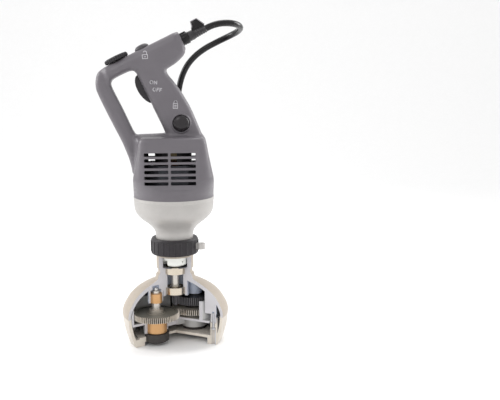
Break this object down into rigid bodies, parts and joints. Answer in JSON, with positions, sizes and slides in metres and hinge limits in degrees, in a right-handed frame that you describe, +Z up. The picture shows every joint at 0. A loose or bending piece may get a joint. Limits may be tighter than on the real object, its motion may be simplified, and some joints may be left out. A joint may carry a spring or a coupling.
{
  "type": "hand-held power mixer",
  "caption": "Hand-held power mixer: loop-handled motor unit on a cut-open twin-spindle gear head, with trigger, speed dial, lock collar, mains cord and plug.",
  "frame": {"origin": "on the input axis, in the plane of the gear head's flat bottom ring, on which the machine stands", "axes": "+Z up along the input and motor axis; -Y towards the front, where the gear head is cut open; +X to the right, the side on which the mains cord leaves the handle"},
  "size_m": [0.2298, 0.3515, 0.508],
  "materials": {
    "casing_beige": "satin light beige enamel",
    "casing_pale": "matt pale grey-beige",
    "cast_aluminium": "as-cast, fine sand grain",
    "bearing_steel": "ground",
    "gear_steel": "oiled, cut teeth",
    "gear_dark": "black oxide",
    "shaft_steel": "ground and oiled",
    "bronze": "sintered, oiled",
    "coupling_white": "smooth white polymer",
    "seal_rubber": "matt black",
    "housing_grey": "fine grain grey polymer",
    "black_plastic": "fine grain",
    "dark_gloss": "satin",
    "laminated_steel": "stacked sheets",
    "copper_wire": "enamelled",
    "copper_bars": "turned",
    "carbon": "sooty",
    "brass_sheet": "pressed",
    "circuit_board": "lacquered board",
    "screw_steel": "zinc plated",
    "cord_rubber": "glossy black sheath",
    "nickel": "nickel plated"
  },
  "bodies": {
    "machine": {"dome_housing": "casing_beige", "lower_casing": "casing_pale", "gear_frame": "cast_aluminium", "bottom_cover": "casing_pale", "casing_screws": "screw_steel", "head_bearing_outer_rings": "bearing_steel", "bearing_circlip": "gear_dark", "upper_bushes": "bronze", "lower_bushes": "bronze", "shaft_seals": "seal_rubber", "motor_bell": "cast_aluminium", "motor_end_bracket": "cast_aluminium", "motor_bearing_outer_rings": "bearing_steel", "stator_core": "laminated_steel", "field_coils": "copper_wire", "carbon_brushes": "carbon", "brush_holders": "brass_sheet", "commutator_bracket": "black_plastic", "motor_screws": "screw_steel", "housing_front_half": "housing_grey", "housing_rear_half": "housing_grey", "housing_screws": "screw_steel", "trigger_pin": "shaft_steel", "switch_module": "black_plastic", "lock_switch": "black_plastic", "safety_switch": "black_plastic", "speed_potentiometer": "black_plastic", "control_board": "circuit_board", "cord_connector": "dark_gloss", "cord_strain_relief": "cord_rubber", "cord_tube": "cord_rubber", "cord_coil": "cord_rubber", "plug_body": "cord_rubber", "plug_pins": "nickel"},
    "motor_rotor": {"motor_shaft": "shaft_steel", "cooling_fan": "black_plastic", "armature_core": "laminated_steel", "armature_windings": "copper_wire", "commutator": "copper_bars", "motor_bearing_inner_rings": "bearing_steel", "drive_coupling": "shaft_steel"},
    "motor_ball_set": {"motor_bearing_balls": "bearing_steel"},
    "input_train": {"input_shaft": "shaft_steel", "input_coupling": "coupling_white", "head_bearing_inner_rings": "bearing_steel"},
    "head_ball_set": {"head_bearing_balls": "bearing_steel"},
    "right_spindle": {"spindle_right": "shaft_steel", "output_gear_right": "gear_steel", "intermediate_gear": "gear_dark", "thrust_ball_right": "bearing_steel"},
    "left_spindle": {"spindle_left": "shaft_steel", "output_gear_left": "gear_steel", "thrust_ball_left": "bearing_steel"},
    "collar": {"lock_collar": "black_plastic", "collar_lever": "cast_aluminium"},
    "trigger_lever": {"trigger": "dark_gloss"},
    "plunger": {"switch_plunger": "coupling_white"},
    "lock_key": {"lock_button": "dark_gloss"},
    "safety_key": {"safety_button": "dark_gloss"},
    "dial": {"speed_dial": "dark_gloss"}
  },
  "joints": [
    {"name": "motor_spin", "type": "hinge", "parent": "machine", "child": "motor_rotor", "pos_m": [0, 0, 0.27], "axis": [0, 0, 1], "continuous": true},
    {"name": "motor_balls_spin", "type": "hinge", "parent": "machine", "child": "motor_ball_set", "pos_m": [0, 0, 0.27], "axis": [0, 0, 1], "continuous": true},
    {"name": "input_spin", "type": "hinge", "parent": "machine", "child": "input_train", "pos_m": [0, 0, 0.1], "axis": [0, 0, 1], "continuous": true},
    {"name": "head_balls_spin", "type": "hinge", "parent": "machine", "child": "head_ball_set", "pos_m": [0, 0, 0.1], "axis": [0, 0, 1], "continuous": true},
    {"name": "right_spindle_spin", "type": "hinge", "parent": "machine", "child": "right_spindle", "pos_m": [0.03074, 0.01775, 0.05], "axis": [0, 0, 1], "continuous": true},
    {"name": "left_spindle_spin", "type": "hinge", "parent": "machine", "child": "left_spindle", "pos_m": [-0.03074, -0.01775, 0.05], "axis": [0, 0, 1], "continuous": true},
    {"name": "collar_turn", "type": "hinge", "parent": "machine", "child": "collar", "pos_m": [0, 0, 0.1565], "axis": [0, 0, 1], "range_deg": [0, 30]},
    {"name": "trigger_pull", "type": "hinge", "parent": "machine", "child": "trigger_lever", "pos_m": [-0.0496, 0, 0.421], "axis": [0, -1, 0], "range_deg": [0, 9], "stiffness_Nm_per_rad": 0.5, "springref_deg": -11.46},
    {"name": "plunger_slide", "type": "slide", "parent": "machine", "child": "plunger", "axis": [0.9033, 0, 0.4289], "range_m": [0, 0.0045]},
    {"name": "lock_press", "type": "slide", "parent": "machine", "child": "lock_key", "axis": [0, 1, 0], "range_m": [0, 0.003], "stiffness_N_per_m": 400, "springref_m": -0.004},
    {"name": "safety_press", "type": "slide", "parent": "machine", "child": "safety_key", "axis": [0.4384, 0, -0.8988], "range_m": [0, 0.003], "stiffness_N_per_m": 400, "springref_m": -0.004},
    {"name": "dial_turn", "type": "hinge", "parent": "machine", "child": "dial", "pos_m": [-0.0822, 0, 0.4437], "axis": [-0.4384, 0, 0.8988], "range_deg": [-135, 135]}
  ],
  "couplings": [
    {"joint": "motor_balls_spin", "follows": "motor_spin", "ratio": 0.38},
    {"joint": "input_spin", "follows": "motor_spin", "ratio": 1},
    {"joint": "head_balls_spin", "follows": "motor_spin", "ratio": 0.358},
    {"joint": "right_spindle_spin", "follows": "motor_spin", "ratio": -0.16393},
    {"joint": "left_spindle_spin", "follows": "motor_spin", "ratio": 0.16393},
    {"joint": "plunger_slide", "follows": "trigger_pull", "m_per_rad": 0.0275}
  ]
}
